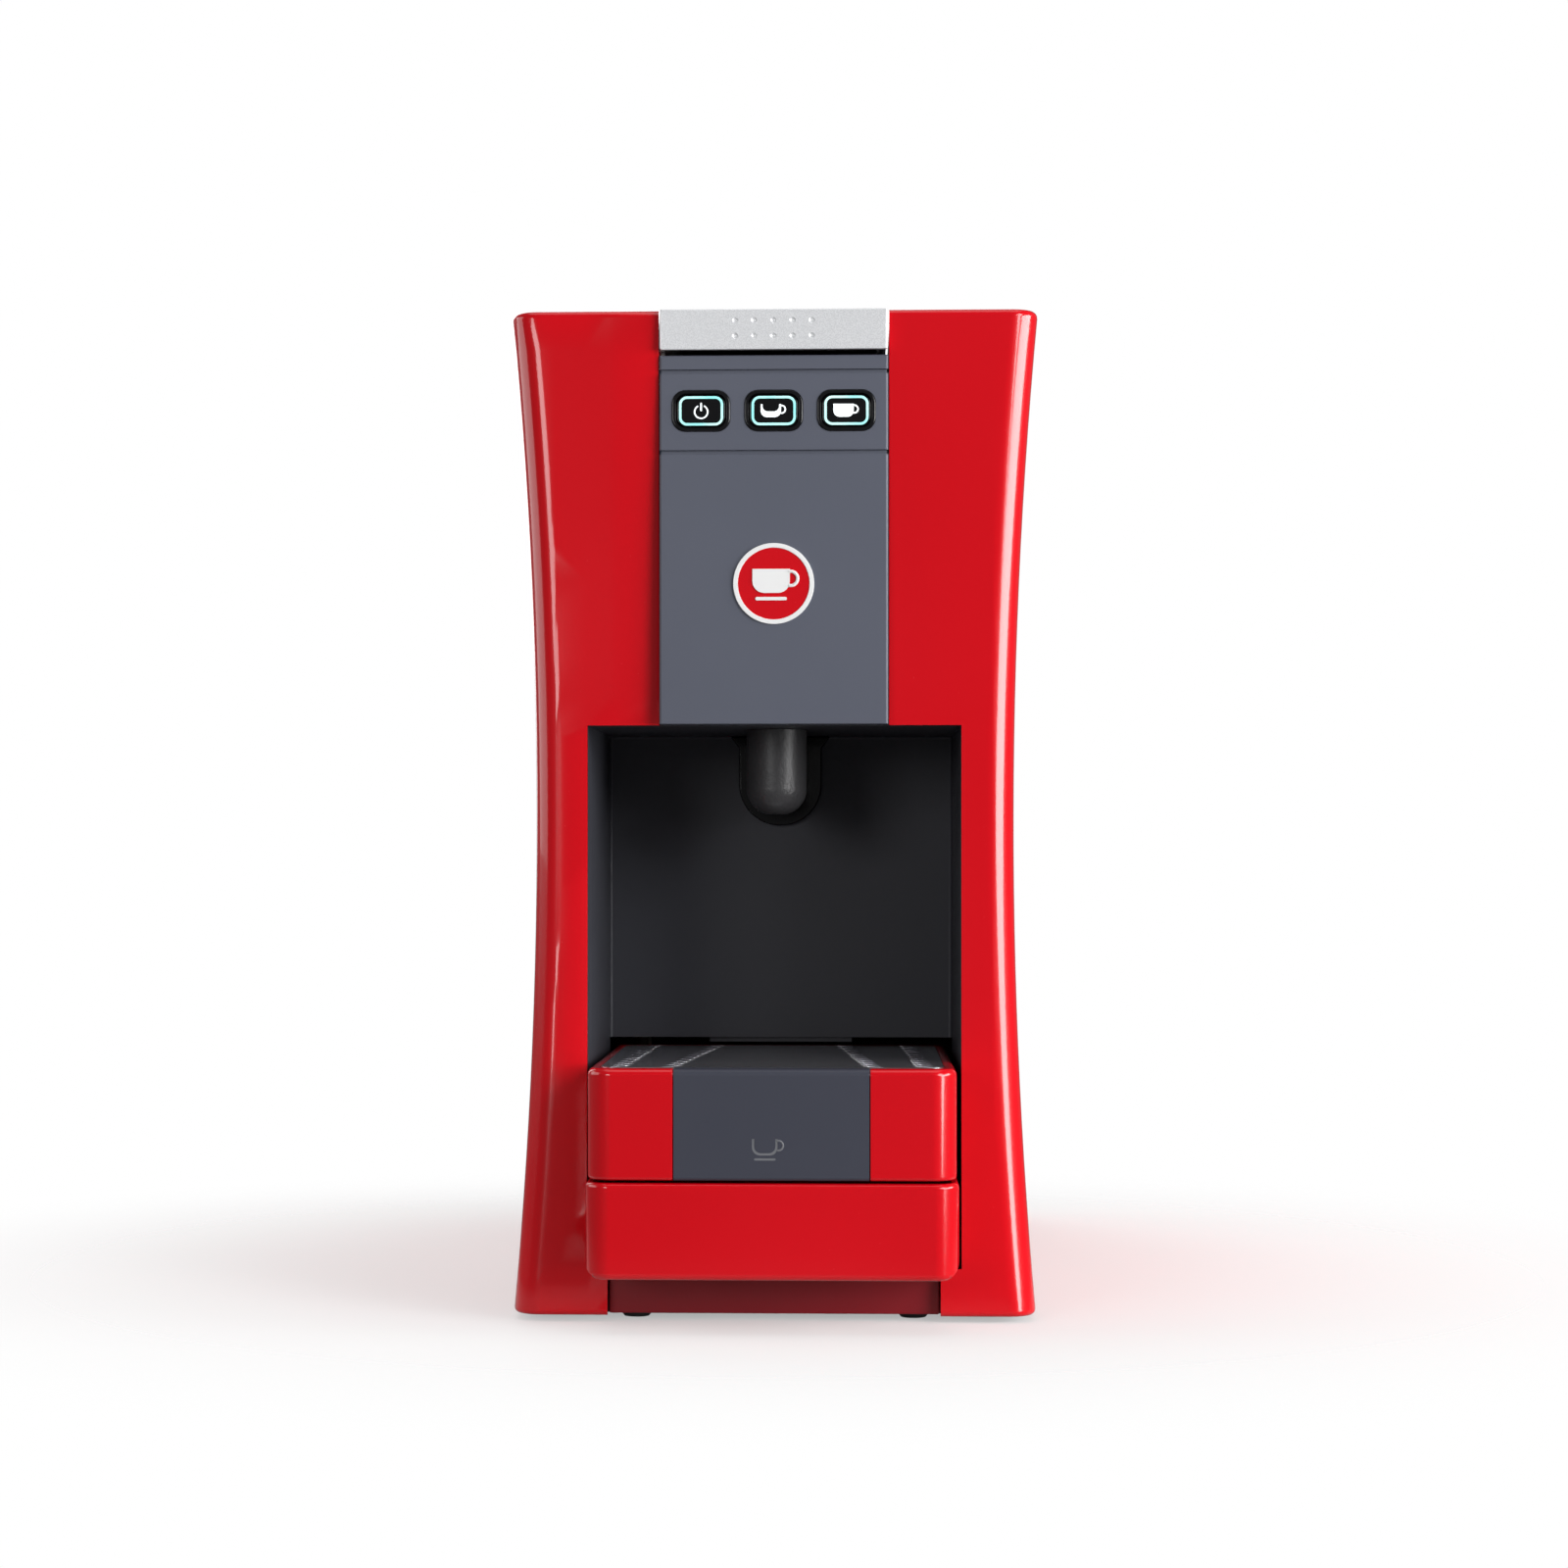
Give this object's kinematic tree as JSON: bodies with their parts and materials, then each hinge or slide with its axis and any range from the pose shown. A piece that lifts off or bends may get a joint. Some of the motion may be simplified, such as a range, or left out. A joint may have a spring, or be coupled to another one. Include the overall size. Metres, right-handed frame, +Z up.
{
  "type": "pod coffee machine",
  "caption": "Waisted pod coffee machine with a top lever, lit buttons, a cup niche with drip nose, lift-off cup stand, pull-out drawer and rear water tank.",
  "frame": {"origin": "on the table, under the middle of the whole machine", "axes": "+X to the right seen from the front, +Y to the back, +Z up"},
  "size_m": [0.17, 0.376, 0.325],
  "materials": {
    "red_gloss": "high gloss lacquered ABS",
    "slate_satin": "fine satin texture",
    "lever_silver": "satin silver paint",
    "black_plastic": "fine moulded texture",
    "rubber": "matte",
    "steel": "brushed",
    "white_plastic": "natural nylon",
    "circuit_board": "solder mask",
    "button_light": "lit, pale cyan",
    "smoked_clear": "smoked, see-through",
    "medallion": "printed",
    "heater_alloy": "as cast"
  },
  "bodies": {
    "body": {"left_shell": "red_gloss", "right_shell": "red_gloss", "front_panel": "slate_satin", "front_plinth": "red_gloss", "base_plate": "black_plastic", "feet": "rubber", "rear_panel": "black_plastic", "top_cover": "slate_satin", "niche_liner": "slate_satin", "spout_nose": "black_plastic", "spout_collar": "black_plastic", "coffee_duct": "black_plastic", "button_bezels": "black_plastic", "shell_screws": "steel", "emblem": "medallion", "power_inlet": "black_plastic", "tank_seat": "black_plastic", "lever_bushes": "white_plastic", "brew_frame": "steel", "guide_rods": "steel", "brew_head": "steel", "brew_seal": "rubber", "capsule_chute": "slate_satin", "top_deck": "slate_satin", "thermoblock": "heater_alloy", "thermostats": "black_plastic", "pump": "black_plastic", "pump_mounts": "rubber", "pump_bracket": "steel", "flow_meter": "white_plastic", "suction_hose": "white_plastic", "pressure_hose": "white_plastic", "brew_hose": "white_plastic", "control_board": "circuit_board", "main_board": "circuit_board"},
    "lever": {"lever_cover": "lever_silver", "lever_arms": "steel", "lever_shaft": "steel", "lever_gears": "steel"},
    "carriage": {"capsule_carriage": "black_plastic", "rack_bars": "steel"},
    "power_button": {"button_power": "black_plastic", "ring_power": "button_light"},
    "short_button": {"button_short": "black_plastic", "ring_short": "button_light"},
    "long_button": {"button_long": "black_plastic", "ring_long": "button_light"},
    "drawer": {"drawer": "red_gloss", "capsule_bin": "black_plastic"},
    "cup_stand": {"cup_stand": "red_gloss", "cup_stand_panel": "slate_satin"},
    "grid": {"drip_grid": "steel"},
    "tank": {"water_tank": "smoked_clear", "tank_lid_pin": "steel", "tank_valve": "white_plastic", "tank_filter": "steel"},
    "tank_lid": {"tank_lid": "smoked_clear"}
  },
  "joints": [
    {"name": "lever_hinge", "type": "hinge", "parent": "body", "child": "lever", "pos_m": [0, 0.03, 0.297], "axis": [-1, 0, 0], "range_deg": [0, 80]},
    {"name": "carriage_slide", "type": "slide", "parent": "body", "child": "carriage", "axis": [0, -1, 0], "range_m": [0, 0.0225]},
    {"name": "power_press", "type": "slide", "parent": "body", "child": "power_button", "axis": [0, 1, 0], "range_m": [0, 0.0012], "stiffness_N_per_m": 500},
    {"name": "short_press", "type": "slide", "parent": "body", "child": "short_button", "axis": [0, 1, 0], "range_m": [0, 0.0012], "stiffness_N_per_m": 500},
    {"name": "long_press", "type": "slide", "parent": "body", "child": "long_button", "axis": [0, 1, 0], "range_m": [0, 0.0012], "stiffness_N_per_m": 500},
    {"name": "drawer_slide", "type": "slide", "parent": "body", "child": "drawer", "axis": [0, -1, 0], "range_m": [0, 0.17]},
    {"name": "cup_stand_lift", "type": "slide", "parent": "drawer", "child": "cup_stand", "axis": [0, 0, 1], "range_m": [0, 0.04]},
    {"name": "grid_lift", "type": "slide", "parent": "cup_stand", "child": "grid", "axis": [0, 0, 1], "range_m": [0, 0.03]},
    {"name": "tank_lift", "type": "slide", "parent": "body", "child": "tank", "axis": [0, 0, 1], "range_m": [0, 0.28]},
    {"name": "tank_lid_hinge", "type": "hinge", "parent": "tank", "child": "tank_lid", "pos_m": [0, 0.1825, 0.321], "axis": [-1, 0, 0], "range_deg": [0, 100]}
  ],
  "couplings": [
    {"joint": "carriage_slide", "follows": "lever_hinge", "m_per_rad": 0.016}
  ]
}
